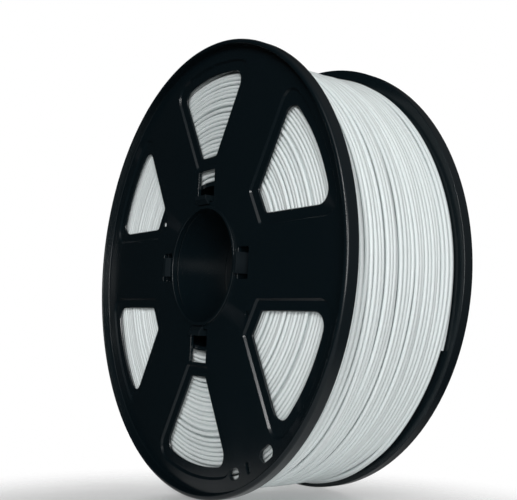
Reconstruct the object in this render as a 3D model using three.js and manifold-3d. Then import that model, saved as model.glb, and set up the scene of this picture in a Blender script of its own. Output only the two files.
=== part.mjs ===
// A full spool of 3D-printing filament, standing on the rims of its two flanges.
//
// The black spool is two moulded halves. Each half has a flange with six windows, half of the
// winding drum, half of the bore sleeve and four ribs between them. Four long hooks on the rear
// half reach through the hub and snap over the front flange, beside the bore. White filament
// fills the drum nearly to the rims.
//
// Millimetres, +Z up. The spool's axis lies along +Y, its front faces -Y, and the origin is on
// the floor under the middle of the spool. Inside the spool group the origin is the middle of
// the axis. "Depth" is measured inwards from a flange's outer plane.

import * as THREE from 'three';
import { mergeVertices } from 'three/addons/utils/BufferGeometryUtils.js';
import Module from 'manifold-3d';

const wasm = await Module();
wasm.setup();

// Driving dimensions
const RIM_RADIUS = 100;
const RIM_FACETS = 96;
const WIDTH = 66;
const SPOOL_TURN = THREE.MathUtils.degToRad(4.2);
const GAP = 0.3;

// Flange: a thin lip round a web that lies deeper
const RIM_WIDTH = 5.6;
const LIP_THICKNESS = 2.0;
const LIP_CHAMFER = 0.5;
const LIP_DRAFT = 0.4;
const WEB_DEPTH = 3.9;
const MARGIN_DEPTH = 4.8;
const BORE_RADIUS = 25.4;
const COLLAR_THICKNESS = 1.5;
const COLLAR_RISE = 1.0;

// Windows: six, with a stepped margin round each
const WINDOW_COUNT = 6;
const SPOKE_HALF_WIDTH = 19.7;
const WINDOW_INNER = 49.3;
const WINDOW_OUTER = 87;
const WINDOW_MARGIN = 4.8;
const WINDOW_CORNER_OUTER = 5;
const WINDOW_CORNER_INNER = 1.6;

// Hook slots round the bore: the upright pair is longer and shows the winding
const SLOT_COUNT = 4;
const SLOT_INNER = 28.4;
const SLOT_OUTER_SHORT = 35.8;
const SLOT_OUTER_LONG = 43;
const SLOT_WIDTH = 13.4;

// Small holes: two anchor holes for the filament's first end, three parking holes for its last
const ANCHOR_RADIUS = 42.4;
const ANCHOR_HOLE = 1.3;
const PARKING_RADIUS = 91.2;
const PARKING_ANGLES = [-70.7, -54];
const PARKING_LENGTH = 9;
const PARKING_WIDTH = 5;
const PARKING_SLIT_ANGLE = -62.7;
const PARKING_SLIT_LENGTH = 5;
const PARKING_SLIT_WIDTH = 2.4;

// Hub between the two webs
const SLEEVE_THICKNESS = 2.0;
const DRUM_RADIUS = 38;
const DRUM_THICKNESS = 2.0;
const SPIGOT_LENGTH = 3.0;
const SPIGOT_THICKNESS = 0.85;
const RIB_COUNT = 4;
const RIB_THICKNESS = 1.6;

// Snap hooks
const HOOK_INNER = 28.8;
const HOOK_THICKNESS = 2.4;
const HOOK_WIDTH = 9;
const HOOK_NOSE_INNER = 27.3;
const HOOK_NOSE_BACK = 3.6;
const HOOK_TIP = 1.2;
const HOOK_RAMP_DEPTH = 2.7;
const HOOK_RAMP_RISE = 2.1;
const CORING_INNER = 27.1;
const CORING_OUTER = 28.6;
const CORING_WIDTH = 10;

// Winding: its outer surface is a little off centre, fuller low on the right
const WINDING_SIDE_GAP = 0.35;
const WINDING_RADIUS = 95.2;
const WINDING_OFFSET = 1.6;
const WINDING_HEAVY_ANGLE = THREE.MathUtils.degToRad(-65);
const FILAMENT_DIAMETER = 1.75;
const LAST_TURN_START = THREE.MathUtils.degToRad(-18.75);
const LAST_TURN_SWEEP = THREE.MathUtils.degToRad(318);
const LAST_TURN_DEPTH = 7;
const LAST_TURN_RADIUS = WINDING_RADIUS - 0.5;

// Facet counts
const HUB_SEGMENTS = 40;
const WINDING_SEGMENTS = 72;
const ARC_SEGMENTS = 8;
const CORNER_SEGMENTS = 3;
const SMALL_HOLE_SEGMENTS = 8;
const STRAND_SIDES = 8;
const STRAND_STEPS = 60;
const MERGE_DISTANCE = 1e-4;

// Derived sizes
const HALF_WIDTH = WIDTH / 2;
const STANDING_HEIGHT = RIM_RADIUS * Math.cos(Math.PI / RIM_FACETS);
const COLLAR_RADIUS = BORE_RADIUS + COLLAR_THICKNESS;
const SLEEVE_RADIUS = BORE_RADIUS + SLEEVE_THICKNESS;
const DRUM_INNER = DRUM_RADIUS - DRUM_THICKNESS;
const HUB_DEPTH = RIM_WIDTH + GAP;
const FRONT = -1;
const REAR = 1;
const CUT_PAST = 1;
const WINDOW_SPACING = (2 * Math.PI) / WINDOW_COUNT;

const blackPlastic = { color: 0x0b1015, roughness: 0.42, metalness: 0 };
const whiteFilament = { color: 0xe4eae9, roughness: 0.45, metalness: 0 };

const toY = (side, depth) => side * (HALF_WIDTH - depth);

// Solids

function toSolid(geometry) {
  geometry.deleteAttribute('normal');
  geometry.deleteAttribute('uv');
  const merged = mergeVertices(geometry, MERGE_DISTANCE);
  const mesh = new wasm.Mesh({
    numProp: 3,
    vertProperties: new Float32Array(merged.attributes.position.array),
    triVerts: new Uint32Array(merged.index.array),
  });
  return new wasm.Manifold(mesh);
}

function toGeometry(solid) {
  const mesh = solid.getMesh();
  const geometry = new THREE.BufferGeometry();
  geometry.setAttribute('position', new THREE.BufferAttribute(mesh.vertProperties, 3));
  geometry.setIndex(new THREE.BufferAttribute(mesh.triVerts, 1));
  return geometry;
}

// A ring turned round the spool's axis. The profile is a closed list of [radius, depth] that
// runs anticlockwise when depth points up, and phase turns its facets.
function ring(side, profile, segments, phase = 0) {
  const ordered = side === FRONT ? profile : [...profile].reverse();
  const points = [...ordered, ordered[0]].map(([r, depth]) => new THREE.Vector2(r, toY(side, depth)));
  return new THREE.LatheGeometry(points, segments, phase);
}

// A plate with its outline in the XZ plane, between two depths
function plate(side, shape, outerDepth, innerDepth, segments = 1) {
  const thickness = innerDepth - outerDepth;
  const geometry = new THREE.ExtrudeGeometry(shape, {
    depth: thickness,
    bevelEnabled: false,
    curveSegments: segments,
  });
  geometry.rotateX(Math.PI / 2);
  geometry.translate(0, Math.max(toY(side, outerDepth), toY(side, innerDepth)), 0);
  return geometry;
}

// Outlines

const polar = (radius, angle) => new THREE.Vector2(radius * Math.cos(angle), radius * Math.sin(angle));

// The points that round a corner, between a point before it and a point after it
const roundCorner = (before, corner, after) =>
  new THREE.QuadraticBezierCurve(before, corner, after).getPoints(CORNER_SEGMENTS);

// A window centred on an angle: straight sides parallel to the spokes, an arc along the rim and
// a straight chord towards the hub. A margin grows it evenly.
function windowOutline(centreAngle, margin) {
  const halfSpoke = SPOKE_HALF_WIDTH - margin;
  const inner = WINDOW_INNER - margin;
  const outer = WINDOW_OUTER + margin;
  const lean = WINDOW_SPACING / 2;
  const innerHalf = (inner * Math.sin(lean) - halfSpoke) / Math.cos(lean);
  const outerHalfAngle = lean - Math.asin(halfSpoke / outer);
  const arcHalfAngle = outerHalfAngle - WINDOW_CORNER_OUTER / outer;
  const sideDirection = new THREE.Vector2(Math.sin(lean), Math.cos(lean));

  const innerCorner = new THREE.Vector2(innerHalf, inner);
  const outerCorner = polar(outer, Math.PI / 2 - outerHalfAngle);
  const chordEnd = new THREE.Vector2(innerHalf - WINDOW_CORNER_INNER, inner);
  const sideStart = innerCorner.clone().addScaledVector(sideDirection, WINDOW_CORNER_INNER);
  const sideEnd = outerCorner.clone().addScaledVector(sideDirection, -WINDOW_CORNER_OUTER);
  const arc = Array.from({ length: ARC_SEGMENTS / 2 }, (_, i) =>
    polar(outer, Math.PI / 2 - arcHalfAngle * (1 - (2 * i) / ARC_SEGMENTS)));
  const rightHalf = [
    ...roundCorner(chordEnd, innerCorner, sideStart),
    ...roundCorner(sideEnd, outerCorner, arc[0]),
    ...arc.slice(1),
  ];
  const top = new THREE.Vector2(0, outer);
  const leftHalf = rightHalf.map((point) => new THREE.Vector2(-point.x, point.y)).reverse();
  const turn = centreAngle - Math.PI / 2;
  const origin = new THREE.Vector2();
  return new THREE.Shape([...rightHalf, top, ...leftHalf].map((point) =>
    point.rotateAround(origin, turn)));
}

// A rectangle that reaches from one radius to another along an angle
function radialRectangle(angle, inner, outer, width) {
  const along = polar(1, angle);
  const across = new THREE.Vector2(-along.y, along.x);
  const corner = (radius, offset) =>
    along.clone().multiplyScalar(radius).addScaledVector(across, offset);
  return new THREE.Shape([
    corner(inner, -width / 2),
    corner(outer, -width / 2),
    corner(outer, width / 2),
    corner(inner, width / 2),
  ]);
}

// A slot with round ends, centred on a polar place, lying along the rim or along the radius
function roundSlot(radius, angle, length, width, alongRim) {
  const centre = polar(radius, angle);
  const direction = alongRim ? angle + Math.PI / 2 : angle;
  const reach = polar((length - width) / 2, direction);
  const outline = new THREE.Shape();
  const head = centre.clone().add(reach);
  const tail = centre.clone().sub(reach);
  outline.absarc(head.x, head.y, width / 2, direction - Math.PI / 2, direction + Math.PI / 2, false);
  outline.absarc(tail.x, tail.y, width / 2, direction + Math.PI / 2, direction + 1.5 * Math.PI, false);
  return outline;
}

function circleOutline(radius, angle, holeRadius) {
  const centre = polar(radius, angle);
  return new THREE.Shape().absarc(centre.x, centre.y, holeRadius, 0, 2 * Math.PI, false);
}

const windowAngles = Array.from({ length: WINDOW_COUNT }, (_, i) => Math.PI / 2 + i * WINDOW_SPACING);
const slotAngles = Array.from({ length: SLOT_COUNT }, (_, i) => (i * Math.PI) / 2);
const isUpright = (angle) => Math.abs(Math.sin(angle)) > Math.abs(Math.cos(angle));

// Flange

function flangeBody(side) {
  const lipInner = RIM_RADIUS - LIP_THICKNESS;
  const profile = [
    [BORE_RADIUS, WEB_DEPTH - COLLAR_RISE],
    [COLLAR_RADIUS, WEB_DEPTH - COLLAR_RISE],
    [COLLAR_RADIUS, WEB_DEPTH],
    [lipInner - LIP_DRAFT, WEB_DEPTH],
    [lipInner, 0],
    [RIM_RADIUS - LIP_CHAMFER, 0],
    [RIM_RADIUS, LIP_CHAMFER],
    [RIM_RADIUS, RIM_WIDTH],
    [BORE_RADIUS, RIM_WIDTH],
  ];
  const halfFacet = Math.PI / RIM_FACETS;
  return toSolid(ring(side, profile, RIM_FACETS, halfFacet - SPOOL_TURN));
}

const throughCut = (side, shape, segments) =>
  toSolid(plate(side, shape, WEB_DEPTH - CUT_PAST, RIM_WIDTH + CUT_PAST, segments));

function windowCuts(side) {
  return windowAngles.flatMap((angle) => [
    throughCut(side, windowOutline(angle, 0)),
    toSolid(plate(side, windowOutline(angle, WINDOW_MARGIN), WEB_DEPTH - CUT_PAST, MARGIN_DEPTH)),
  ]);
}

function frontSlotCuts() {
  return slotAngles.map((angle) => {
    const outer = isUpright(angle) ? SLOT_OUTER_LONG : SLOT_OUTER_SHORT;
    return throughCut(FRONT, radialRectangle(angle, SLOT_INNER, outer, SLOT_WIDTH));
  });
}

const rearCoringCuts = () =>
  slotAngles.map((angle) =>
    throughCut(REAR, radialRectangle(angle, CORING_INNER, CORING_OUTER, CORING_WIDTH)));

function smallHoleCuts(side) {
  const anchors = [windowAngles[1], windowAngles[4]].map((angle) =>
    circleOutline(ANCHOR_RADIUS, angle, ANCHOR_HOLE));
  const parking = PARKING_ANGLES.map((degrees) =>
    roundSlot(PARKING_RADIUS, THREE.MathUtils.degToRad(degrees), PARKING_LENGTH, PARKING_WIDTH, true));
  const slitAngle = THREE.MathUtils.degToRad(PARKING_SLIT_ANGLE);
  const slit = roundSlot(PARKING_RADIUS, slitAngle, PARKING_SLIT_LENGTH, PARKING_SLIT_WIDTH, false);
  return [...anchors, ...parking, slit].map((shape) => throughCut(side, shape, SMALL_HOLE_SEGMENTS));
}

function flange(side) {
  const hubCuts = side === FRONT ? frontSlotCuts() : rearCoringCuts();
  const cuts = [...windowCuts(side), ...hubCuts, ...smallHoleCuts(side)];
  return toGeometry(cuts.reduce((solid, cut) => solid.subtract(cut), flangeBody(side)));
}

// Hub halves

function boreSleeve(side) {
  const profile = [
    [BORE_RADIUS, HUB_DEPTH],
    [SLEEVE_RADIUS, HUB_DEPTH],
    [SLEEVE_RADIUS, HALF_WIDTH - GAP / 2],
    [BORE_RADIUS, HALF_WIDTH - GAP / 2],
  ];
  return ring(side, profile, HUB_SEGMENTS);
}

// The front drum half ends in a thin spigot that slips inside the rear half's socket
function drumHalf(side) {
  const end = HALF_WIDTH - GAP / 2;
  const spigotOuter = DRUM_INNER + SPIGOT_THICKNESS;
  const socketInner = spigotOuter + GAP;
  const joint = side === FRONT
    ? [[DRUM_RADIUS, end], [spigotOuter, end], [spigotOuter, end + SPIGOT_LENGTH],
      [DRUM_INNER, end + SPIGOT_LENGTH]]
    : [[DRUM_RADIUS, end], [socketInner, end], [socketInner, end - SPIGOT_LENGTH - GAP],
      [DRUM_INNER, end - SPIGOT_LENGTH - GAP]];
  const profile = [[DRUM_INNER, HUB_DEPTH], [DRUM_RADIUS, HUB_DEPTH], ...joint];
  return ring(side, profile, HUB_SEGMENTS);
}

function hubRib(side, index) {
  const angle = Math.PI / 4 + (index * 2 * Math.PI) / RIB_COUNT;
  const inner = SLEEVE_RADIUS + GAP;
  const outer = DRUM_INNER - GAP;
  const end = HALF_WIDTH - SPIGOT_LENGTH - GAP;
  return plate(side, radialRectangle(angle, inner, outer, RIB_THICKNESS), HUB_DEPTH, end);
}

// Snap hook: a long arm on the rear web with a nose that laps over the front web. Its outline is
// drawn as radius against y and extruded across its width.
function snapHook(angle) {
  const outer = HOOK_INNER + HOOK_THICKNESS;
  const root = toY(REAR, HUB_DEPTH);
  const nose = (depth) => toY(FRONT, depth);
  const outline = new THREE.Shape([
    new THREE.Vector2(HOOK_INNER, root),
    new THREE.Vector2(HOOK_INNER, nose(HOOK_NOSE_BACK)),
    new THREE.Vector2(HOOK_NOSE_INNER, nose(HOOK_NOSE_BACK)),
    new THREE.Vector2(HOOK_NOSE_INNER, nose(HOOK_RAMP_DEPTH)),
    new THREE.Vector2(HOOK_NOSE_INNER + HOOK_RAMP_RISE, nose(HOOK_TIP)),
    new THREE.Vector2(outer, nose(HOOK_TIP)),
    new THREE.Vector2(outer, root),
  ]);
  const geometry = new THREE.ExtrudeGeometry(outline, { depth: HOOK_WIDTH, bevelEnabled: false });
  geometry.translate(0, 0, -HOOK_WIDTH / 2);
  geometry.rotateY(-angle);
  return geometry;
}

// Filament

const windingCentre = polar(WINDING_OFFSET, WINDING_HEAVY_ANGLE);

function windingPlate(radius, rearDepth) {
  const outline = new THREE.Shape();
  outline.absarc(windingCentre.x, windingCentre.y, radius, 0, 2 * Math.PI, false);
  const core = new THREE.Path();
  core.absarc(0, 0, DRUM_RADIUS + GAP, 0, 2 * Math.PI, true);
  outline.holes.push(core);
  const frontDepth = RIM_WIDTH + WINDING_SIDE_GAP;
  return toSolid(plate(FRONT, outline, frontDepth, WIDTH - rearDepth, WINDING_SEGMENTS));
}

// A shoulder beside the rear flange leaves room for the last turn
function winding() {
  const shoulderRadius = LAST_TURN_RADIUS - FILAMENT_DIAMETER / 2 - GAP;
  const shoulderDepth = LAST_TURN_DEPTH + FILAMENT_DIAMETER / 2 + GAP;
  const full = windingPlate(WINDING_RADIUS, shoulderDepth);
  const shoulder = windingPlate(shoulderRadius, RIM_WIDTH + WINDING_SIDE_GAP);
  return toGeometry(full.add(shoulder));
}

// The last turn lies beside the rear flange, level with the winding, and ends low on the right
class TurnArc extends THREE.Curve {
  getPoint(t, target = new THREE.Vector3()) {
    const angle = LAST_TURN_START + t * LAST_TURN_SWEEP;
    const place = polar(LAST_TURN_RADIUS, angle).add(windingCentre);
    return target.set(place.x, toY(REAR, LAST_TURN_DEPTH), place.y);
  }
}

function lastTurn() {
  const section = new THREE.Shape();
  const corners = Array.from({ length: STRAND_SIDES }, (_, i) =>
    polar(FILAMENT_DIAMETER / 2, (i * 2 * Math.PI) / STRAND_SIDES));
  section.setFromPoints(corners);
  return new THREE.ExtrudeGeometry(section, {
    steps: STRAND_STEPS,
    bevelEnabled: false,
    extrudePath: new TurnArc(),
  });
}

// The filament's first end fills the anchor hole in the front flange
function firstEnd() {
  const radius = ANCHOR_HOLE - GAP / 2;
  const outline = circleOutline(ANCHOR_RADIUS, windowAngles[1], radius);
  return plate(FRONT, outline, WEB_DEPTH - GAP, RIM_WIDTH, SMALL_HOLE_SEGMENTS);
}

// Assembly

const spool = new THREE.Group();
spool.position.z = STANDING_HEIGHT;
spool.rotation.y = SPOOL_TURN;

function addPiece(name, geometry, finish) {
  const mesh = new THREE.Mesh(geometry, new THREE.MeshStandardMaterial(finish));
  mesh.name = name;
  spool.add(mesh);
}

const sideNames = [[FRONT, 'front'], [REAR, 'rear']];
for (const [side, sideName] of sideNames) {
  addPiece(`${sideName}_flange`, flange(side), blackPlastic);
  addPiece(`${sideName}_bore_sleeve`, boreSleeve(side), blackPlastic);
  addPiece(`${sideName}_drum_half`, drumHalf(side), blackPlastic);
  for (let index = 0; index < RIB_COUNT; index += 1) {
    addPiece(`${sideName}_hub_rib_${index + 1}`, hubRib(side, index), blackPlastic);
  }
}

const hookNames = ['right', 'top', 'left', 'bottom'];
hookNames.forEach((hookName, index) => {
  addPiece(`snap_hook_${hookName}`, snapHook(slotAngles[index]), blackPlastic);
});

addPiece('filament_winding', winding(), whiteFilament);
addPiece('filament_last_turn', lastTurn(), whiteFilament);
addPiece('filament_first_end', firstEnd(), whiteFilament);

const part = new THREE.Group();
part.add(spool);

export default part;
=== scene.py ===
"""A full spool of white 3D-printing filament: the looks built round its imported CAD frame.

Metres, +Z up, the spool's axis along +Y and its front towards -Y. Inside the spool the origin is
the middle of the axis. "Depth" is measured inwards from a flange's outer plane, and "grow" is how
far a hole's outline is moved outwards from the hole.
"""

import math

import bpy
import numpy as np
from mathutils import Matrix, Vector
from mathutils.geometry import delaunay_2d_cdt


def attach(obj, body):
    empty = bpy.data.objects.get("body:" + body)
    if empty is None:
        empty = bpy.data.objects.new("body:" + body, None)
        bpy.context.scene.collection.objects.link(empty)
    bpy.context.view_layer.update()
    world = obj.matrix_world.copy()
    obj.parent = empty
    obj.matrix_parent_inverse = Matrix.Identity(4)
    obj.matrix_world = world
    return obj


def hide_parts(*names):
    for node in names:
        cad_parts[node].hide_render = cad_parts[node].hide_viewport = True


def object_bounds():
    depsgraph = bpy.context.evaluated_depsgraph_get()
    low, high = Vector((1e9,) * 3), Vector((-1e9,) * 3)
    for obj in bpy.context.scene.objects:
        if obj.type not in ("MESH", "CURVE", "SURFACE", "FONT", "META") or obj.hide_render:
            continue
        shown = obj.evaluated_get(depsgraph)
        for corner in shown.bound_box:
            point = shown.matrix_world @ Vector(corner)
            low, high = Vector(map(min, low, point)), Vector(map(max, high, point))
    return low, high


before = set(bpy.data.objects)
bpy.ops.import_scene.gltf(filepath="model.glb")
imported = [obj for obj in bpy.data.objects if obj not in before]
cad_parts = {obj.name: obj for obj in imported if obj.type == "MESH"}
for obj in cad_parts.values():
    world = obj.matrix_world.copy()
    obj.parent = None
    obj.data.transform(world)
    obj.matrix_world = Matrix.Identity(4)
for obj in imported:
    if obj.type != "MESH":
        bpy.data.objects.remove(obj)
cad_low, cad_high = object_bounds()

MM = 0.001
FRONT, REAR = -1, 1
SIDES = {"front": FRONT, "rear": REAR}

# Spool
RIM_RADIUS = (cad_high.z - cad_low.z) / 2
HALF_WIDTH = (cad_high.y - cad_low.y) / 2
SPOOL_TURN = math.radians(4.2)
RIM_WIDTH = 5.6 * MM
LIP_THICKNESS = 2.0 * MM
LIP_DRAFT = 0.4 * MM
WEB_DEPTH = 3.9 * MM
MARGIN_DEPTH = 4.8 * MM
BORE_RADIUS = 25.4 * MM
COLLAR_THICKNESS = 1.5 * MM
COLLAR_RISE = 1.0 * MM
WINDOW_COUNT = 6
SPOKE_HALF_WIDTH = 19.7 * MM
WINDOW_INNER = 49.3 * MM
WINDOW_OUTER = 87.0 * MM
WINDOW_MARGIN = 4.8 * MM
WINDOW_CORNER_OUTER = 5.0 * MM
WINDOW_CORNER_INNER = 1.6 * MM
STEP_CORNER_OUTER = 6.5 * MM
STEP_CORNER_INNER = 1.9 * MM
SLOT_INNER = 28.4 * MM
SLOT_OUTER_SHORT = 35.8 * MM
SLOT_OUTER_LONG = 43.0 * MM
SLOT_WIDTH = 13.4 * MM
SLOT_CORNER = 0.5 * MM
CORING_INNER = 27.1 * MM
CORING_OUTER = 28.6 * MM
CORING_WIDTH = 10.0 * MM
CORING_CORNER = 0.3 * MM
ANCHOR_RADIUS = 42.4 * MM
ANCHOR_HOLE = 1.3 * MM
ANCHOR_WINDOWS = (1, 4)
PLUG_RADIUS = 1.0 * MM
PLUG_FLAT = 0.95 * MM
PLUG_ROUND = 0.3 * MM
PLUG_WINDOW = 1
PARKING_RADIUS = 91.2 * MM
PARKING_SLOTS = (
    # angle, length, width
    (-69.0, 7.0 * MM, 4.4 * MM),
    (-54.0, 9.0 * MM, 5.0 * MM),
)
PARKING_SLIT_ANGLE = -62.7
PARKING_SLIT_LENGTH = 5.0 * MM
PARKING_SLIT_WIDTH = 2.4 * MM
SLEEVE_THICKNESS = 2.0 * MM
DRUM_RADIUS = 38.0 * MM
DRUM_THICKNESS = 2.0 * MM
SPIGOT_LENGTH = 3.0 * MM
SPIGOT_THICKNESS = 0.85 * MM
GAP = 0.3 * MM
HUB_DEPTH = RIM_WIDTH + GAP

WINDOW_ANGLES = [math.pi / 2 + 2 * math.pi * i / WINDOW_COUNT for i in range(WINDOW_COUNT)]
SLOT_ANGLES = {"right": 0.0, "top": math.pi / 2, "left": math.pi, "bottom": -math.pi / 2}

# Edges of the moulding. A "flat" is how far a profile runs on across a face before it ends.
STEP_FLAT = 0.32 * MM
STEP_TOP = 0.2 * MM
STEP_FOOT = 0.7 * MM
STEP_ROUND = 0.25 * MM
CHAMFER_WIDTH = 0.35 * MM
CHAMFER_DEPTH = 0.45 * MM
CHAMFER_ROUND = 0.1 * MM
COLLAR_FOOT_FLAT = 0.1 * MM
COLLAR_FOOT_ROUND = 0.08 * MM
COLLAR_OUTER_ROUND = 0.35 * MM
COLLAR_INNER_ROUND = 0.4 * MM
LIP_FOOT_FLAT = 1.2 * MM
LIP_FOOT_ROUND = 0.5 * MM
LIP_INNER_ROUND = 0.45 * MM
LIP_OUTER_ROUND = 1.4 * MM
RIM_BACK_ROUND = 0.4 * MM
RIM_BACK_FLAT = 1.0 * MM
SLOT_ROUND = 0.3 * MM
BACK_ROUND = 0.25 * MM
CORING_ROUND = 0.04 * MM
CORING_BACK_ROUND = 0.1 * MM
ANCHOR_ROUND = 0.12 * MM
PARKING_ROUND = 0.15 * MM
HUB_ROUND = 0.15 * MM
HOOK_ROUND = 0.25 * MM
HOOK_ROUND_STEPS = 3
HOOK_MERGE = 0.005 * MM
OPENING_BACK_ROUND = 0.2 * MM
OPENING_BACK_FLAT = 0.5 * MM

# Steps that round outlines are drawn with
RIM_STEPS = 192
RING_STEPS = 96
SMALL_HOLE_STEPS = 20
SLOT_END_STEPS = 10
CORNER_STEPS = 4
WINDOW_FOOT_STEPS = 5
WINDOW_FILLET_STEPS = 6
WINDOW_ARC_STEPS = 12

# Winding
FILAMENT = 1.75 * MM
WINDING_SIDE_GAP = 0.35 * MM
WINDING_RADIUS = 95.2 * MM
WINDING_OFFSET = 1.6 * MM
WINDING_HEAVY_ANGLE = math.radians(-65)
WINDING_HALF = HALF_WIDTH - RIM_WIDTH - WINDING_SIDE_GAP
WINDING_CENTRE = WINDING_OFFSET * np.array(
    (math.cos(WINDING_HEAVY_ANGLE), math.sin(WINDING_HEAVY_ANGLE))
)
TURN_STEPS = 192
STRAND_SIDES = 8
STRAND_GAP = FILAMENT * 1.01
LANE_GAP = STRAND_GAP * 1.005

# Outer layers. The lowest is only what the others rest on, and isn't shown.
LAYERS = (
    # seed, widest gap, jitter
    (11, 0.5 * MM, 0.15 * MM),
    (12, 0.8 * MM, 0.25 * MM),
    (13, 0.8 * MM, 0.30 * MM),
    (14, 0.8 * MM, 0.35 * MM),
)
WANDER = (
    # knots a share of a turn apart, share of the jitter
    (0.33, 1.0),
    (0.12, 0.6),
    (0.05, 0.3),
)
GAP_CHANCE = 0.33
GAP_SHARES = (0.3, 1.0)
EDGE_CALM = 6.0 * MM
EDGE_CLIMB = 0.15 * MM
DIP_LIMIT = 0.8 * MM
BRIDGE_LIFT = 0.35 * MM
BRIDGE_START = 0.2
BRIDGE_TOP = 1.2
BRIDGE_KNOTS = TURN_STEPS // 5
STIFF_STEPS = 2
CROSSOVER_STEP = -60
CROSSOVER_SHARE = 0.24
END_STEP = -10
LAST_TURN_STEPS = 170
FREE_END_STEPS = 9
FREE_END_LIFT = 0.9 * MM
SURFACE_PERCENTILE = 60
SHADE_STEPS = 60
SHADE_SEED = 5

# Packing under the outer layers
SWELL = 0.7 * MM
SWELL_SEED = 3
SWELL_WAVES = 9
SWELL_LENGTHS = (4.0 * MM, 10.0 * MM)
SWELL_LEAN = 3
CORE_PITCH = 1.95 * MM
CORE_TURNS = int(2 * WINDING_HALF / CORE_PITCH)
CORE_INSET = 3.0 * MM
CORE_RIDGE = 0.5 * MM
CORE_RIDGE_STEPS = 4
CORE_SHADE = 0.4
PLUG_SHADE = 0.6

# Turns against the flanges
SIDE_ROWS = (
    # recess, widest gap
    (0.95 * MM, 0.9 * MM),
    (2.0 * MM, 0.5 * MM),
)
SIDE_SEED = 40
SIDE_ROW_SEED = 10
SIDE_WANDER = 0.3 * MM
SIDE_WANDER_KNOTS = TURN_STEPS // 4
SIDE_UNEVEN = 0.1 * MM
SIDE_UNEVEN_KNOTS = TURN_STEPS // 6
PROUD_HEIGHT = 0.75 * MM
PROUD_BESIDE_GAP = 0.25 * MM
PROUD_BIAS = 0.9
PROUD_KNOTS = TURN_STEPS // 3

# Colours
WHITE = (1, 1, 1, 1)
PLASTIC_COLOURS = ((0.0028, 0.0066, 0.0090, 1), (0.0038, 0.0078, 0.0102, 1))
# The lighter grey that is painted on the plastic's sharp edges: a painted highlight
PLASTIC_EDGE_HIGHLIGHT = (0.022, 0.026, 0.030, 1)
FILAMENT_COLOURS = ((0.72, 0.775, 0.775, 1), (0.84, 0.90, 0.90, 1))
FILAMENT_CLOUD = (0.73, 0.785, 0.785, 1)
FLOOR_COLOURS = ((0.74, 0.745, 0.75, 1), (0.77, 0.77, 0.77, 1))

# Camera
CAMERA_PLACE = Vector((0.28367, -0.20196, 0.0550))
CAMERA_DIRECTION = Vector((-0.8022, 0.5767, 0.1548))
CAMERA_LENS = 52.04
CAMERA_SENSOR = 36
CAMERA_CLIP = (0.01, 50)

# Studio
FLOOR_HALF = 0.7
FLOOR_MIDDLE = (0.06, -0.07, 0)
FLOOR_FADE = (0.07, 0.18)
FLOOR_GLOW = 0.12
ROOM_BRIGHT_SIDE = (0.85, 0.15, 0.50)
ROOM_FADE = (-0.15, 1.0)
ROOM_STRENGTH = (0.012, 0.18)
LIGHT_AIM = (0, 0, 0.1)
SOFTBOXES = (
    # name, place, size, power
    ("key", (1.18, -0.68, 0.10), (0.5, 0.6), 7.6),
    ("strip", (0.52, -0.80, 0.46), (0.06, 0.4), 3.3),
    ("above", (0.38, -0.75, 0.85), (0.45, 0.45), 0.6),
)
SUNS = (
    # name, the direction that it comes from, spread in degrees, strength
    ("right", (1.0, -0.5, -0.05), 50, 0.38),
    ("behind", (-1.0, 0.6, 0.1), 30, 3.2),
)

# Limits below which lengths and angles count as nothing
STRAIGHT = 1e-6
SAME_POINT = 1e-9
MERGE_DISTANCE = 2e-7
NO_LENGTH = 1e-12
TRIANGLES_INSIDE_EDGES = 1

spool_place = Matrix.Translation((0, 0, RIM_RADIUS)) @ Matrix.Rotation(SPOOL_TURN, 4, "Y")


def build_camera():
    camera = bpy.data.objects.new("camera", bpy.data.cameras.new("camera"))
    camera.data.lens = CAMERA_LENS
    camera.data.sensor_width = CAMERA_SENSOR
    camera.data.clip_start, camera.data.clip_end = CAMERA_CLIP
    camera.location = CAMERA_PLACE
    camera.rotation_mode = "QUATERNION"
    camera.rotation_quaternion = CAMERA_DIRECTION.to_track_quat("-Z", "Y")
    bpy.context.scene.collection.objects.link(camera)
    bpy.context.scene.camera = camera


build_camera()


# Outlines: each is a function of grow that returns the points and outward normals of a closed
# line, always with the same number of points


def unit(v):
    return v / np.linalg.norm(v)


def polar(radius, angle):
    return np.array((radius * math.cos(angle), radius * math.sin(angle)))


def rotated(v, angle):
    c, s = math.cos(angle), math.sin(angle)
    return np.array((c * v[0] - s * v[1], s * v[0] + c * v[1]))


def turned(points, angle):
    c, s = math.cos(angle), math.sin(angle)
    return points @ np.array(((c, s), (-s, c)))


def rounded(corners, steps=CORNER_STEPS, closed=False):
    """A line through corners of (u, v, radius), with arcs at the corners that have a radius.
    Returns its points and its unit tangents."""
    points, tangents = [], []
    last = len(corners) - 1
    for i, (u, v, radius) in enumerate(corners):
        here = np.array((u, v), float)
        into = unit(here - np.array(corners[i - 1][:2], float))
        out = unit(np.array(corners[(i + 1) % len(corners)][:2], float) - here)
        if not closed and i in (0, last):
            points.append(here)
            tangents.append(out if i == 0 else into)
            continue
        turn = math.atan2(into[0] * out[1] - into[1] * out[0], into @ out)
        if radius == 0 or abs(turn) < STRAIGHT:
            points.append(here)
            tangents.append(unit(into + out))
            continue
        reach = radius * math.tan(abs(turn) / 2)
        spoke = np.array((into[1], -into[0])) * math.copysign(1, turn)
        centre = here - into * reach - spoke * radius
        for k in range(steps + 1):
            angle = turn * k / steps
            points.append(centre + radius * rotated(spoke, angle))
            tangents.append(rotated(into, angle))
    return np.array(points), np.array(tangents)


def right_of(tangents):
    """The normals on the right of a line, one a tangent."""
    return np.stack((tangents[:, 1], -tangents[:, 0]), axis=1)


def circle(radius, steps, angle=0.0, distance=0.0):
    directions = np.array([polar(1, 2 * math.pi * i / steps) for i in range(steps)])
    centre = polar(distance, angle)
    return lambda grow: (centre + directions * (radius + grow), directions)


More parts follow.
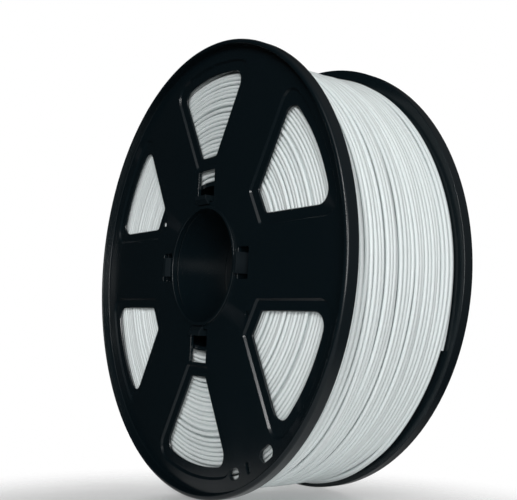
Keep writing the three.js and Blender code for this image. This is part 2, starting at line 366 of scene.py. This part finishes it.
def radial_rectangle(angle, inner, outer, width, corner):
    def outline(grow):
        half, round_corner = width / 2 + grow, corner + grow
        low, high = inner - grow, outer + grow
        places = ((low, -half), (high, -half), (high, half), (low, half))
        points, tangents = rounded([(*place, round_corner) for place in places], closed=True)
        return turned(points, angle), turned(right_of(tangents), angle)

    return outline


def round_slot(radius, angle, length, width, along_rim):
    def outline(grow):
        half, reach = width / 2 + grow, (length - width) / 2
        ends = range(SLOT_END_STEPS + 1)
        arc = np.array([polar(1, -math.pi / 2 + math.pi * i / SLOT_END_STEPS) for i in ends])
        normals = np.concatenate((arc, -arc))
        centres = np.repeat([(reach, 0), (-reach, 0)], len(arc), axis=0)
        points = centres + normals * half
        direction = angle + math.pi / 2 if along_rim else angle
        return turned(points, direction) + polar(radius, angle), turned(normals, direction)

    return outline


def window(centre_angle):
    """Straight sides parallel to the spokes, an arc along the rim and a chord towards the hub.
    Grown past the middle of its margin, it takes the corners of the step round the window."""
    lean = math.pi / WINDOW_COUNT
    side = np.array((math.sin(lean), math.cos(lean)))
    inward = np.array((-side[1], side[0]))

    def outline(grow):
        half = SPOKE_HALF_WIDTH - grow
        inner, outer = WINDOW_INNER - grow, WINDOW_OUTER + grow
        on_step = grow > WINDOW_MARGIN / 2
        past = grow - WINDOW_MARGIN if on_step else grow
        corner = past + (STEP_CORNER_OUTER if on_step else WINDOW_CORNER_OUTER)
        corner_inner = past + (STEP_CORNER_INNER if on_step else WINDOW_CORNER_INNER)
        # the window's centre line is +Y here, and this is its right half
        fillet_along = math.sqrt((outer - corner) ** 2 - (half + corner) ** 2)
        fillet_centre = side * fillet_along + inward * (half + corner)
        start = math.atan2(-inward[1], -inward[0])
        end = math.atan2(fillet_centre[1], fillet_centre[0])
        fillet = np.array([
            polar(1, start + (end - start) * i / WINDOW_FILLET_STEPS)
            for i in range(WINDOW_FILLET_STEPS + 1)
        ])
        arc = np.array([
            polar(1, end + (math.pi / 2 - end) * i / WINDOW_ARC_STEPS)
            for i in range(1, WINDOW_ARC_STEPS + 1)
        ])
        foot = np.array(((inner * math.sin(lean) - half) / math.cos(lean), inner))
        foot_points, foot_tangents = rounded(
            [(0, inner, 0), (*foot, corner_inner), (*(foot + side * SPOKE_HALF_WIDTH), 0)],
            WINDOW_FOOT_STEPS,
        )
        right = np.concatenate(
            (foot_points[:-1], fillet_centre + fillet * corner, arc * outer)
        )
        normals = np.concatenate((right_of(foot_tangents[:-1]), fillet, arc))
        mirror = np.array((-1, 1))
        points = np.concatenate((right, (right * mirror)[-2:0:-1]))
        normals = np.concatenate((normals, (normals * mirror)[-2:0:-1]))
        turn = centre_angle - math.pi / 2
        return turned(points, turn), turned(normals, turn)

    return outline


# Meshes


class Shell:
    """Points, normals and faces of one closed piece, in the spool's own frame."""

    def __init__(self, side=FRONT):
        self.side = side
        self.points, self.normals, self.faces = [], [], []
        self.count = 0

    def place(self, flat, depth):
        """Points in the XZ plane, at a depth behind this side's outer plane."""
        y = np.full(len(flat), self.side * (HALF_WIDTH - depth))
        return np.stack((flat[:, 0], y, flat[:, 1]), axis=1)

    def add(self, points, normals, faces):
        self.points.append(points)
        self.normals.append(normals)
        self.faces.extend([tuple(i + self.count for i in face) for face in faces])
        self.count += len(points)

    def add_rows(self, rows, normals, close_rows):
        """Quads between successive closed rows of points."""
        count, width = len(rows), len(rows[0])
        faces = []
        for i in range(count if close_rows else count - 1):
            low, high = i * width, (i + 1) % count * width
            for j in range(width):
                following = (j + 1) % width
                faces.append((low + j, low + following, high + following, high + j))
        self.add(np.concatenate(rows), np.concatenate(normals), faces)

    def sweep(self, outline, profile, facing=1, close_rows=False):
        """Runs a profile of (grow, depth, radius) corners round an outline. With facing 1 the
        solid lies outside the outline, and with -1 inside it."""
        line, tangents = rounded(profile, closed=close_rows)
        rows, normals = [], []
        for (grow, depth), (tangent_grow, tangent_depth) in zip(line, tangents):
            flat, outward = outline(grow)
            rows.append(self.place(flat, depth))
            level = np.full(len(flat), -self.side * tangent_grow * facing)
            across = outward * (-tangent_depth * facing)
            normals.append(np.stack((across[:, 0], level, across[:, 1]), axis=1))
        self.add_rows(rows, normals, close_rows)

    def face(self, loops, depth, outer_side):
        """A flat face with holes. The first loop is its outline."""
        flat = np.concatenate(loops)
        edges, start = [], 0
        for loop in loops:
            n = len(loop)
            edges += [(start + i, start + (i + 1) % n) for i in range(n)]
            start += n
        _, _, triangles, sources, _, _ = delaunay_2d_cdt(
            [Vector(p) for p in flat], edges, [], TRIANGLES_INSIDE_EDGES, SAME_POINT
        )
        made = np.array([flat[source[0]] for source in sources])
        starts, ends = flat[[e[0] for e in edges]], flat[[e[1] for e in edges]]
        kept = []
        for triangle in triangles:
            x, y = made[list(triangle)].mean(axis=0)
            crosses = (starts[:, 1] > y) != (ends[:, 1] > y)
            run = np.where(crosses, ends[:, 1] - starts[:, 1], 1)
            at = starts[:, 0] + (y - starts[:, 1]) / run * (ends[:, 0] - starts[:, 0])
            if np.count_nonzero(crosses & (at > x)) % 2:
                kept.append(tuple(triangle))
        level = self.side if outer_side else -self.side
        self.add(self.place(made, depth), np.tile((0.0, level, 0.0), (len(made), 1)), kept)

    def build(self, name, material):
        """Joins the points that lie together, turns every face outwards and makes the piece."""
        points, normals = np.concatenate(self.points), np.concatenate(self.normals)
        cells = np.round(points / MERGE_DISTANCE).astype(np.int64)
        _, first, same = np.unique(cells, axis=0, return_index=True, return_inverse=True)
        same = same.ravel()
        summed = np.zeros((len(first), 3))
        np.add.at(summed, same, normals)
        points = points[first]
        faces = []
        for face in self.faces:
            ring = []
            for i in face:
                if same[i] not in ring:
                    ring.append(int(same[i]))
            if len(ring) < 3:
                continue
            corners = points[ring]
            across = np.cross(corners[1] - corners[0], corners[2] - corners[0])
            if across @ summed[ring].sum(axis=0) < 0:
                ring.reverse()
            faces.append(ring)
        return make_piece(name, points, summed, faces, material)


def make_piece(name, points, normals, faces, material):
    mesh = bpy.data.meshes.new(name)
    mesh.from_pydata(points, [], faces)
    mesh.polygons.foreach_set("use_smooth", np.ones(len(mesh.polygons), bool))
    lengths = np.linalg.norm(normals, axis=1, keepdims=True)
    mesh.normals_split_custom_set_from_vertices(normals / np.maximum(lengths, NO_LENGTH))
    mesh.transform(spool_place)
    mesh.materials.append(material)
    piece = bpy.data.objects.new(name, mesh)
    bpy.context.scene.collection.objects.link(piece)
    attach(piece, "spool")
    return piece


# Materials


class Nodes:
    """A material's node tree, with short calls to add and link nodes."""

    def __init__(self, name):
        self.material = bpy.data.materials.new(name)
        self.material.use_nodes = True
        self.tree = self.material.node_tree
        self.shader = self.tree.nodes["Principled BSDF"]
        self.coordinates = self.add("ShaderNodeTexCoord").outputs["Object"]

    def add(self, kind, settings=None, **inputs):
        node = self.tree.nodes.new(kind)
        for key, value in (settings or {}).items():
            setattr(node, key, value)
        for key, value in inputs.items():
            self.set(node.inputs[key.replace("_", " ")], value)
        return node

    def set(self, socket, value):
        if isinstance(value, bpy.types.NodeSocket):
            self.tree.links.new(value, socket)
        else:
            socket.default_value = value

    def noise(self, scale, detail, roughness=0.5):
        node = self.add("ShaderNodeTexNoise", Scale=scale, Detail=detail, Roughness=roughness)
        self.set(node.inputs["Vector"], self.coordinates)
        return node.outputs["Fac"]

    def ramp(self, value, source, target):
        """Maps value from the source range to the target range, each (low, high)."""
        node = self.add("ShaderNodeMapRange", Value=value)
        set_ranges(node, source, target)
        return node.outputs["Result"]

    def mix(self, factor, first, second):
        node = self.add("ShaderNodeMix", {"data_type": "RGBA"})
        for socket, value in zip(("Factor_Float", "A_Color", "B_Color"), (factor, first, second)):
            self.set(next(s for s in node.inputs if s.identifier == socket), value)
        return next(s for s in node.outputs if s.identifier == "Result_Color")

    def bump(self, height, strength, distance, **normal):
        node = self.add(
            "ShaderNodeBump", Strength=strength, Distance=distance, Height=height, **normal
        )
        return node.outputs["Normal"]

    def finish(self, **inputs):
        for key, value in inputs.items():
            self.set(self.shader.inputs[key.replace("_", " ")], value)
        return self.material


def set_ranges(node, source, target):
    """Sets the two ranges of a Map Range node."""
    for kind, limits in (("From", source), ("To", target)):
        node.inputs[f"{kind} Min"].default_value = limits[0]
        node.inputs[f"{kind} Max"].default_value = limits[1]


def moulded_plastic(name, gloss, level):
    """Black injection-moulded plastic with a fine grain, and its edges painted slightly greyer as a
    painted highlight.
    """
    n = Nodes(name)
    colour = n.mix(n.noise(scale=18, detail=3), *PLASTIC_COLOURS)
    edge = n.add("ShaderNodeNewGeometry").outputs["Pointiness"]
    # Sharp edges are painted lighter grey: a painted highlight along the moulding's edges
    painted_edge_highlight = n.ramp(edge, (0.53, 0.62), (0.0, 0.35))
    sink = n.bump(n.noise(scale=30, detail=1), strength=0.25, distance=0.4 * MM)
    grain = n.bump(n.noise(scale=2600, detail=2), strength=0.06, distance=0.04 * MM, Normal=sink)
    return n.finish(
        Base_Color=n.mix(painted_edge_highlight, colour, PLASTIC_EDGE_HIGHLIGHT),
        Roughness=n.ramp(n.noise(scale=60, detail=4, roughness=0.6), (0.3, 0.7), gloss),
        Specular_IOR_Level=level,
        Normal=grain,
    )


def filament_plastic():
    """White extruded filament: satin, and a little darker or lighter along its length."""
    n = Nodes("white_filament")
    turn = n.add("ShaderNodeAttribute", {"attribute_name": "turn_shade"}).outputs["Fac"]
    cloud = n.ramp(n.noise(scale=45, detail=2), (0.35, 0.75), (0.0, 0.25))
    return n.finish(
        Base_Color=n.mix(cloud, n.mix(turn, *FILAMENT_COLOURS), FILAMENT_CLOUD),
        Roughness=n.ramp(n.noise(scale=240, detail=3), (0.3, 0.7), (0.36, 0.50)),
        Specular_IOR_Level=0.4,
        Subsurface_Weight=0.4,
        Subsurface_Radius=(1.0, 1.0, 1.0),
        Subsurface_Scale=1.2 * MM,
        Normal=n.bump(n.noise(scale=1500, detail=2), strength=0.08, distance=0.04 * MM),
    )


def floor_paint():
    """Pale paint that fades away from the spool, towards the white behind it."""
    n = Nodes("floor_paint")
    n.finish(
        Base_Color=n.mix(n.noise(scale=3, detail=2), *FLOOR_COLOURS),
        Roughness=0.8,
        Specular_IOR_Level=0.1,
        Emission_Color=WHITE,
        Emission_Strength=FLOOR_GLOW,
    )
    distance = n.add("ShaderNodeVectorMath", {"operation": "DISTANCE"})
    n.set(distance.inputs[0], n.coordinates)
    n.set(distance.inputs[1], FLOOR_MIDDLE)
    fade = n.add(
        "ShaderNodeMapRange", {"interpolation_type": "SMOOTHSTEP"}, Value=distance.outputs["Value"]
    )
    set_ranges(fade, FLOOR_FADE, (0, 1))
    blend = n.add("ShaderNodeMixShader")
    n.set(blend.inputs[0], fade.outputs["Result"])
    n.set(blend.inputs[1], n.shader.outputs[0])
    n.set(blend.inputs[2], n.add("ShaderNodeBsdfTransparent").outputs[0])
    n.set(n.tree.nodes["Material Output"].inputs["Surface"], blend.outputs[0])
    return n.material


plastic = moulded_plastic("black_plastic", gloss=(0.19, 0.27), level=0.35)
matt_plastic = moulded_plastic("black_plastic_matt", gloss=(0.45, 0.6), level=0.1)
filament = filament_plastic()


# Flanges. A profile's corners are (grow, depth, radius), from the outer face to the inner one.


def plain_hole(front_round, back_round=BACK_ROUND):
    """A wall straight through the web with rounded edges."""
    return [
        (2 * front_round, WEB_DEPTH, 0),
        (0, WEB_DEPTH, front_round),
        (0, RIM_WIDTH, back_round),
        (2 * back_round, RIM_WIDTH, 0),
    ]


OPENING_BACK = [(0, RIM_WIDTH, OPENING_BACK_ROUND), (OPENING_BACK_FLAT, RIM_WIDTH, 0)]
WINDOW_PROFILE = [
    (WINDOW_MARGIN + STEP_FLAT, WEB_DEPTH, 0),
    (WINDOW_MARGIN + STEP_TOP, WEB_DEPTH, STEP_ROUND),
    (WINDOW_MARGIN - STEP_FOOT, MARGIN_DEPTH, STEP_ROUND),
    (CHAMFER_WIDTH, MARGIN_DEPTH, CHAMFER_ROUND),
    (0, MARGIN_DEPTH + CHAMFER_DEPTH, CHAMFER_ROUND),
    *OPENING_BACK,
]
BORE_PROFILE = [
    (COLLAR_THICKNESS + COLLAR_FOOT_FLAT, WEB_DEPTH, 0),
    (COLLAR_THICKNESS, WEB_DEPTH, COLLAR_FOOT_ROUND),
    (COLLAR_THICKNESS, WEB_DEPTH - COLLAR_RISE, COLLAR_OUTER_ROUND),
    (0, WEB_DEPTH - COLLAR_RISE, COLLAR_INNER_ROUND),
    *OPENING_BACK,
]
RIM_PROFILE = [
    (-LIP_THICKNESS - LIP_DRAFT - LIP_FOOT_FLAT, WEB_DEPTH, 0),
    (-LIP_THICKNESS - LIP_DRAFT, WEB_DEPTH, LIP_FOOT_ROUND),
    (-LIP_THICKNESS, 0, LIP_INNER_ROUND),
    (0, 0, LIP_OUTER_ROUND),
    (0, RIM_WIDTH, RIM_BACK_ROUND),
    (-RIM_BACK_FLAT, RIM_WIDTH, 0),
]


def small_holes():
    """The filament's anchor holes, and the two slots and the slit where its end is parked."""
    anchors = [
        circle(ANCHOR_HOLE, SMALL_HOLE_STEPS, WINDOW_ANGLES[i], ANCHOR_RADIUS)
        for i in ANCHOR_WINDOWS
    ]
    parking = [
        round_slot(PARKING_RADIUS, math.radians(angle), length, width, along_rim=True)
        for angle, length, width in PARKING_SLOTS
    ]
    slit = round_slot(
        PARKING_RADIUS, math.radians(PARKING_SLIT_ANGLE), PARKING_SLIT_LENGTH,
        PARKING_SLIT_WIDTH, along_rim=False,
    )
    return [(outline, plain_hole(ANCHOR_ROUND)) for outline in anchors] + [
        (outline, plain_hole(PARKING_ROUND)) for outline in (*parking, slit)
    ]


def hub_holes(side):
    """The slots that the snap hooks reach into, or the coring slots behind the hooks."""
    holes = []
    for name, angle in SLOT_ANGLES.items():
        if side == FRONT:
            outer = SLOT_OUTER_LONG if name in ("top", "bottom") else SLOT_OUTER_SHORT
            outline = radial_rectangle(angle, SLOT_INNER, outer, SLOT_WIDTH, SLOT_CORNER)
            holes.append((outline, plain_hole(SLOT_ROUND)))
        else:
            outline = radial_rectangle(
                angle, CORING_INNER, CORING_OUTER, CORING_WIDTH, CORING_CORNER
            )
            holes.append((outline, plain_hole(CORING_ROUND, CORING_BACK_ROUND)))
    return holes


def build_flange(side_name):
    side = SIDES[side_name]
    shell = Shell(side)
    rim = circle(RIM_RADIUS, RIM_STEPS)
    shell.sweep(rim, RIM_PROFILE, facing=-1)
    holes = [(circle(BORE_RADIUS, RING_STEPS), BORE_PROFILE)]
    holes += [(window(angle), WINDOW_PROFILE) for angle in WINDOW_ANGLES]
    holes += hub_holes(side) + small_holes()
    for outline, profile in holes:
        shell.sweep(outline, profile)
    for end, depth, outer_side in ((0, WEB_DEPTH, True), (-1, RIM_WIDTH, False)):
        loops = [rim(RIM_PROFILE[end][0])[0]]
        loops += [outline(profile[end][0])[0] for outline, profile in holes]
        shell.face(loops, depth, outer_side)
    piece = shell.build(f"{side_name}_flange_moulding", plastic)
    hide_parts(f"{side_name}_flange")


for side_name in SIDES:
    build_flange(side_name)


# Hub


def build_ring(name, side, radius, profile, node):
    """A turned ring. Its profile's grow is measured from radius, and each corner is rounded."""
    shell = Shell(side)
    corners = [(grow, depth, HUB_ROUND) for grow, depth in profile]
    shell.sweep(circle(radius, RING_STEPS), corners, close_rows=True)
    piece = shell.build(name, plastic)
    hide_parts(node)


def build_hub(side_name, side):
    """A moulding's sleeve round the bore and its half of the drum. The front drum's spigot
    reaches into the rear drum."""
    middle = HALF_WIDTH - GAP / 2
    build_ring(
        f"{side_name}_sleeve", side, BORE_RADIUS,
        [(SLEEVE_THICKNESS, HUB_DEPTH), (0, HUB_DEPTH), (0, middle), (SLEEVE_THICKNESS, middle)],
        f"{side_name}_bore_sleeve",
    )
    spigot = SPIGOT_THICKNESS if side == FRONT else SPIGOT_THICKNESS + GAP
    end = middle + SPIGOT_LENGTH if side == FRONT else middle - SPIGOT_LENGTH - GAP
    build_ring(
        f"{side_name}_drum", side, DRUM_RADIUS - DRUM_THICKNESS,
        [
            (DRUM_THICKNESS, HUB_DEPTH),
            (0, HUB_DEPTH),
            (0, end),
            (spigot, end),
            (spigot, middle),
            (DRUM_THICKNESS, middle),
        ],
        f"{side_name}_drum_half",
    )


def finish_hooks_and_ribs():
    """The CAD's own hooks and ribs stay, in matt plastic. The hooks' edges are rounded."""
    for name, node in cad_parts.items():
        if "hub_rib" in name or "snap_hook" in name:
            node.data.materials.clear()
            node.data.materials.append(matt_plastic)
        if "snap_hook" in name:
            node.modifiers.new("join", "WELD").merge_threshold = HOOK_MERGE
            bevel = node.modifiers.new("edges", "BEVEL")
            bevel.width = HOOK_ROUND
            bevel.segments = HOOK_ROUND_STEPS
            bevel.limit_method = "ANGLE"


for side_name, side in SIDES.items():
    build_hub(side_name, side)
finish_hooks_and_ribs()


# Filament


def radial_directions(angle):
    return np.stack((np.cos(angle), np.sin(angle)), axis=-1)


def ease(share):
    """A smooth step from 0 to 1."""
    return share * share * (3 - 2 * share)


def smooth(values):
    """Lets a stiff strand bridge the dips: a running high, then a running mean."""
    padded = np.pad(values, (2 * STIFF_STEPS, 2 * STIFF_STEPS), mode="edge")
    width = 2 * STIFF_STEPS + 1
    high = np.lib.stride_tricks.sliding_window_view(padded, width).max(axis=1)
    weights = np.hanning(width + 2)
    return np.convolve(high, weights[1:-1] / weights.sum(), "valid")


def knotted(count, spacing, size, rng):
    """A smooth random line with a knot every so many steps."""
    knots = rng.normal(size=count // spacing + 3) * size
    line = np.interp(np.arange(count + spacing), np.arange(len(knots)) * spacing, knots)
    weights = np.hanning(spacing + 2)[1:-1]
    return np.convolve(line, weights / weights.sum(), "same")[:count]


def rest_on(y, column, below):
    """The height at which a strand at y rests on the layer below, at each step."""
    below_y, below_height, below_first = below
    places = np.mod(column - below_first, TURN_STEPS)
    apart = np.abs(y[None, :] - below_y[:, places])
    lift = np.sqrt(np.maximum(FILAMENT**2 - apart**2, 0))
    return np.where(apart < FILAMENT, below_height[:, places] + lift, 0).max(axis=0)


def lanes_across(width, gap, rng):
    """Places of successive turns: groups that lie close, with a wider gap here and there."""
    places = [0.0]
    while places[-1] < width:
        wide = rng.uniform() < GAP_CHANCE
        places.append(places[-1] + LANE_GAP + wide * rng.uniform(*GAP_SHARES) * gap)
    places = np.array(places[:-1])
    return places * width / places[-1]


def travel(lanes, width, jitter, rng):
    """Where the turns lie across the spool, by turn and step. Each one crosses to the next lane
    once a revolution and wanders a little, but never into its neighbours."""
    turns = len(lanes)
    column = END_STEP + np.arange(turns * TURN_STEPS)
    around = (column - CROSSOVER_STEP) / TURN_STEPS
    progress = np.floor(around) + ease(np.clip(np.mod(around, 1) / CROSSOVER_SHARE, 0, 1))
    progress -= progress[0]
    y = np.interp(progress * (turns - 1) / progress[-1], np.arange(turns), lanes)
    free = np.clip(np.minimum(y, width - y) / EDGE_CALM, 0, 1)
    for share_of_turn, share_of_jitter in WANDER:
        spacing = int(TURN_STEPS * share_of_turn)
        y += knotted(len(column), spacing, jitter * share_of_jitter, rng) * free
    y = y.reshape(turns, TURN_STEPS)
    for i in range(1, turns):
        y[i] = np.maximum(y[i], y[i - 1] + STRAND_GAP)
    y[-1] = np.minimum(y[-1], width)
    for i in range(turns - 2, -1, -1):
        y[i] = np.minimum(y[i], y[i + 1] - STRAND_GAP)
    return y - width / 2


def lay_layer(below, seed, gap, jitter, direction):
    """Winds one layer across the spool over the layer below. A layer is (y, height, first_step),
    with y and height by turn and step."""
    rng = np.random.default_rng(seed)
    width = 2 * WINDING_HALF - FILAMENT
    y = travel(lanes_across(width, gap, rng), width, jitter, rng) * direction
    line = y.ravel()
    rest = rest_on(line, END_STEP + np.arange(line.size), below)
    height = smooth(np.maximum(rest, np.median(rest) - DIP_LIMIT))
    bridge = knotted(line.size, BRIDGE_KNOTS, 1.0, rng)
    height += BRIDGE_LIFT * np.clip(bridge - BRIDGE_START, 0, BRIDGE_TOP)
    climb = np.clip((np.abs(line) - width / 2) / EDGE_CALM + 1, 0, 1)
    height += EDGE_CLIMB * ease(climb)
    return y, height.reshape(y.shape), END_STEP


def set_turn_shade(piece, shade):
    """Stores the filament's shade, one number for the piece or one a point."""
    values = np.broadcast_to(shade, len(piece.data.vertices)).astype(np.float32)
    piece.data.attributes.new("turn_shade", "FLOAT", "POINT").data.foreach_set("value", values)


def turn_shades(count, rng):
    """A slow random change of shade along a strand, one value a step."""
    knots = rng.uniform(0, 1, size=count // SHADE_STEPS + 2)
    return np.interp(np.arange(count), np.arange(len(knots)) * SHADE_STEPS, knots)


def build_strand(name, centres, radial, shades):
    """A round strand through centres. Its section is drawn with the radial direction and Y."""
    ring = np.array([polar(1, 2 * math.pi * i / STRAND_SIDES) for i in range(STRAND_SIDES)])
    axis = np.array((0.0, 1.0, 0.0))
    normals = ring[None, :, 0, None] * radial[:, None, :] + ring[None, :, 1, None] * axis
    points = centres[:, None, :] + FILAMENT / 2 * normals
    low = np.arange(len(centres) - 1)[:, None] * STRAND_SIDES
    high = low + STRAND_SIDES
    column = np.arange(STRAND_SIDES)[None, :]
    following = (column + 1) % STRAND_SIDES
    quads = np.stack((low + column, low + following, high + following, high + column), axis=-1)
    faces = quads.reshape(-1, 4).tolist()
    start_cap = list(range(STRAND_SIDES))
    faces.append(start_cap[::-1])
    faces.append([(len(centres) - 1) * STRAND_SIDES + i for i in start_cap])
    piece = make_piece(name, points.reshape(-1, 3), normals.reshape(-1, 3), faces, filament)
    set_turn_shade(piece, np.repeat(shades, STRAND_SIDES))
    return piece


def swell(y, angle):
    """Uneven packing deep in the winding: broad bands that stand higher or lower."""
    rng = np.random.default_rng(SWELL_SEED)
    height = np.zeros_like(y)
    for _ in range(SWELL_WAVES):
        length = rng.uniform(*SWELL_LENGTHS)
        lean = rng.integers(-SWELL_LEAN, SWELL_LEAN + 1)
        height += np.cos(2 * math.pi * y / length + lean * angle + rng.uniform(0, 2 * math.pi))
    return height * SWELL / math.sqrt(SWELL_WAVES)


def in_space(flat, y):
    """Points in the XZ plane, taken to y along the axis."""
    return np.stack((flat[:, 0], np.broadcast_to(y, len(flat)), flat[:, 1]), axis=1)


def build_outer_layers():
    """The outer layers of the winding, each laid over the one below. The top layer's end beside
    the rear flange is the filament's last turn. Returns the radius that heights start from."""
    edge = WINDING_HALF - FILAMENT / 2
    base_y = np.repeat(np.linspace(-edge, edge, CORE_TURNS)[:, None], TURN_STEPS, axis=1)
    below = (base_y, swell(base_y, np.arange(TURN_STEPS) * 2 * math.pi / TURN_STEPS), 0)
    layers = []
    for i, (seed, gap, jitter) in enumerate(LAYERS):
        below = lay_layer(below, seed, gap, jitter, 1 if i % 2 == 0 else -1)
        layers.append(below)
    top_height = layers[-1][1]
    base = WINDING_RADIUS - FILAMENT / 2 - np.percentile(top_height, SURFACE_PERCENTILE)
    from_tip = np.arange(FREE_END_STEPS) / FREE_END_STEPS
    top_height[0, :FREE_END_STEPS] += FREE_END_LIFT * (1 - from_tip) ** 2
    rng = np.random.default_rng(SHADE_SEED)
    for i, (y, height, first_step) in enumerate(layers[1:], 1):
        flat = radial_directions(2 * math.pi * (first_step + np.arange(y.size)) / TURN_STEPS)
        radius = base + height.ravel()
        centres = in_space(WINDING_CENTRE + flat * radius[:, None], y.ravel())
        radial = in_space(flat, 0.0)
        shades = turn_shades(len(centres), rng)
        on_top = i == len(layers) - 1
        start = LAST_TURN_STEPS if on_top else 0
        piece = build_strand(
            f"winding_layer_{i}", centres[start:], radial[start:], shades[start:]
        )
        if on_top:
            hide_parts("filament_winding")
            end = start + 1
            last = build_strand("last_turn", centres[:end], radial[:end], shades[:end])
            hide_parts("filament_last_turn")
    return base


def build_core(base):
    """The turns under the outer layers, as one ridged body."""
    inner, outer = DRUM_RADIUS + GAP, base + FILAMENT / 2
    start = HALF_WIDTH - WINDING_HALF + CORE_INSET
    pitch = (2 * WINDING_HALF - 2 * CORE_INSET) / CORE_TURNS
    corners = [(inner, start, 0)]
    for i in range(CORE_TURNS):
        for step in range(CORE_RIDGE_STEPS):
            share = (step + 0.5) / CORE_RIDGE_STEPS
            radius = outer - CORE_RIDGE + CORE_RIDGE * math.sin(math.pi * share)
            corners.append((radius, start + (i + share) * pitch, 0))
    corners.append((inner, start + CORE_TURNS * pitch, 0))

    def outline(radius):
        directions = circle(1.0, RING_STEPS)(0)[1]
        share = (radius - inner) / (outer - inner)
        return directions * radius + WINDING_CENTRE * share, directions

    shell = Shell()
    shell.sweep(outline, corners, facing=-1, close_rows=True)
    piece = shell.build("winding_core", filament)
    set_turn_shade(piece, CORE_SHADE)


def build_side_turns(side_name, row, recess, gap, base):
    """One row of turns that lie against a flange, seen through its windows. Row 0 is nearest the
    flange, and some of its turns beside a gap stand proud."""
    side = SIDES[side_name]
    rng = np.random.default_rng(SIDE_SEED + SIDE_ROW_SEED * row + side)
    first = DRUM_RADIUS + FILAMENT / 2 + GAP + row * FILAMENT / 2
    lanes = first + lanes_across(base - first, gap, rng)
    turns = len(lanes)
    around = np.arange(turns * TURN_STEPS) / TURN_STEPS
    radius = np.interp(around, np.arange(turns), lanes)
    radius += knotted(around.size, SIDE_WANDER_KNOTS, SIDE_WANDER, rng)
    radius = radius.reshape(turns, TURN_STEPS)
    for i in range(1, turns):
        radius[i] = np.maximum(radius[i], radius[i - 1] + FILAMENT)
    radius = radius.ravel()
    beside_gap = np.diff(lanes, append=lanes[-1]) > STRAND_GAP + PROUD_BESIDE_GAP
    proud = np.interp(around, np.arange(turns), beside_gap.astype(float))
    proud *= np.clip(knotted(around.size, PROUD_KNOTS, 1.0, rng) + PROUD_BIAS, 0, 1)
    sunk = knotted(around.size, SIDE_UNEVEN_KNOTS, SIDE_UNEVEN, rng)
    if row == 0:
        sunk -= PROUD_HEIGHT * proud
    y = side * (WINDING_HALF - FILAMENT / 2 - np.maximum(recess + sunk, 0))
    share = np.clip((radius - DRUM_RADIUS) / (WINDING_RADIUS - DRUM_RADIUS), 0, 1)
    flat = radial_directions(2 * math.pi * around)
    place = flat * radius[:, None] + WINDING_CENTRE * share[:, None]
    build_strand(
        f"{side_name}_side_turns_{row + 1}", in_space(place, y), in_space(flat, 0.0),
        turn_shades(around.size, rng),
    )


def build_first_end():
    """The filament's first end, pushed out through the anchor hole beside the hub."""
    outline = circle(PLUG_RADIUS, SMALL_HOLE_STEPS, WINDOW_ANGLES[PLUG_WINDOW], ANCHOR_RADIUS)
    profile = [
        (-PLUG_FLAT, WEB_DEPTH + GAP, 0),
        (0, WEB_DEPTH + GAP, PLUG_ROUND),
        (0, RIM_WIDTH, 0),
        (-PLUG_FLAT, RIM_WIDTH, 0),
    ]
    shell = Shell()
    shell.sweep(outline, profile, facing=-1)
    for end, outer_side in ((0, True), (-1, False)):
        grow, depth, _ = profile[end]
        shell.face([outline(grow)[0]], depth, outer_side)
    piece = shell.build("first_end", filament)
    set_turn_shade(piece, PLUG_SHADE)
    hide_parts("filament_first_end")


base_radius = build_outer_layers()
build_core(base_radius)
for side_name in SIDES:
    for row, (recess, gap) in enumerate(SIDE_ROWS):
        build_side_turns(side_name, row, recess, gap, base_radius)
build_first_end()


# Floor and light


def build_light(name, kind, direction):
    """A light of this kind that shines along a direction."""
    light = bpy.data.objects.new(name, bpy.data.lights.new(name, kind))
    light.rotation_mode = "QUATERNION"
    light.rotation_quaternion = direction.to_track_quat("-Z", "Y")
    bpy.context.scene.collection.objects.link(light)
    return light


def build_softbox(name, place, size, power):
    light = build_light(name, "AREA", Vector(LIGHT_AIM) - Vector(place))
    light.location = place
    light.data.shape = "RECTANGLE"
    light.data.size, light.data.size_y = size
    light.data.energy = power


def build_sun(name, source, spread, strength):
    light = build_light(name, "SUN", -Vector(source))
    light.data.angle = math.radians(spread)
    light.data.energy = strength


def build_floor():
    mesh = bpy.data.meshes.new("floor")
    corners = [(x * FLOOR_HALF, y * FLOOR_HALF, 0) for x, y in ((-1, -1), (1, -1), (1, 1), (-1, 1))]
    mesh.from_pydata(corners, [], [range(len(corners))])
    mesh.materials.append(floor_paint())
    floor = bpy.data.objects.new("floor", mesh)
    bpy.context.scene.collection.objects.link(floor)


def build_world():
    """White behind the object, and a dim room, brighter on one side, for everything that isn't
    seen directly."""
    world = bpy.data.worlds.new("studio")
    world.use_nodes = True
    nodes, link = world.node_tree.nodes, world.node_tree.links.new
    towards = nodes.new("ShaderNodeVectorMath")
    towards.operation = "DOT_PRODUCT"
    towards.inputs[1].default_value = Vector(ROOM_BRIGHT_SIDE).normalized()
    link(nodes.new("ShaderNodeTexCoord").outputs["Generated"], towards.inputs[0])
    fade = nodes.new("ShaderNodeMapRange")
    fade.interpolation_type = "SMOOTHSTEP"
    set_ranges(fade, ROOM_FADE, ROOM_STRENGTH)
    link(towards.outputs["Value"], fade.inputs["Value"])
    room, white = nodes["Background"], nodes.new("ShaderNodeBackground")
    room.inputs["Color"].default_value = WHITE
    white.inputs["Color"].default_value = WHITE
    link(fade.outputs["Result"], room.inputs["Strength"])
    mix = nodes.new("ShaderNodeMixShader")
    link(nodes.new("ShaderNodeLightPath").outputs["Is Camera Ray"], mix.inputs[0])
    link(room.outputs[0], mix.inputs[1])
    link(white.outputs[0], mix.inputs[2])
    link(mix.outputs[0], nodes["World Output"].inputs["Surface"])
    bpy.context.scene.world = world


build_floor()
build_world()
bpy.context.scene.view_settings.view_transform = "Standard"
for softbox in SOFTBOXES:
    build_softbox(*softbox)
for sun in SUNS:
    build_sun(*sun)
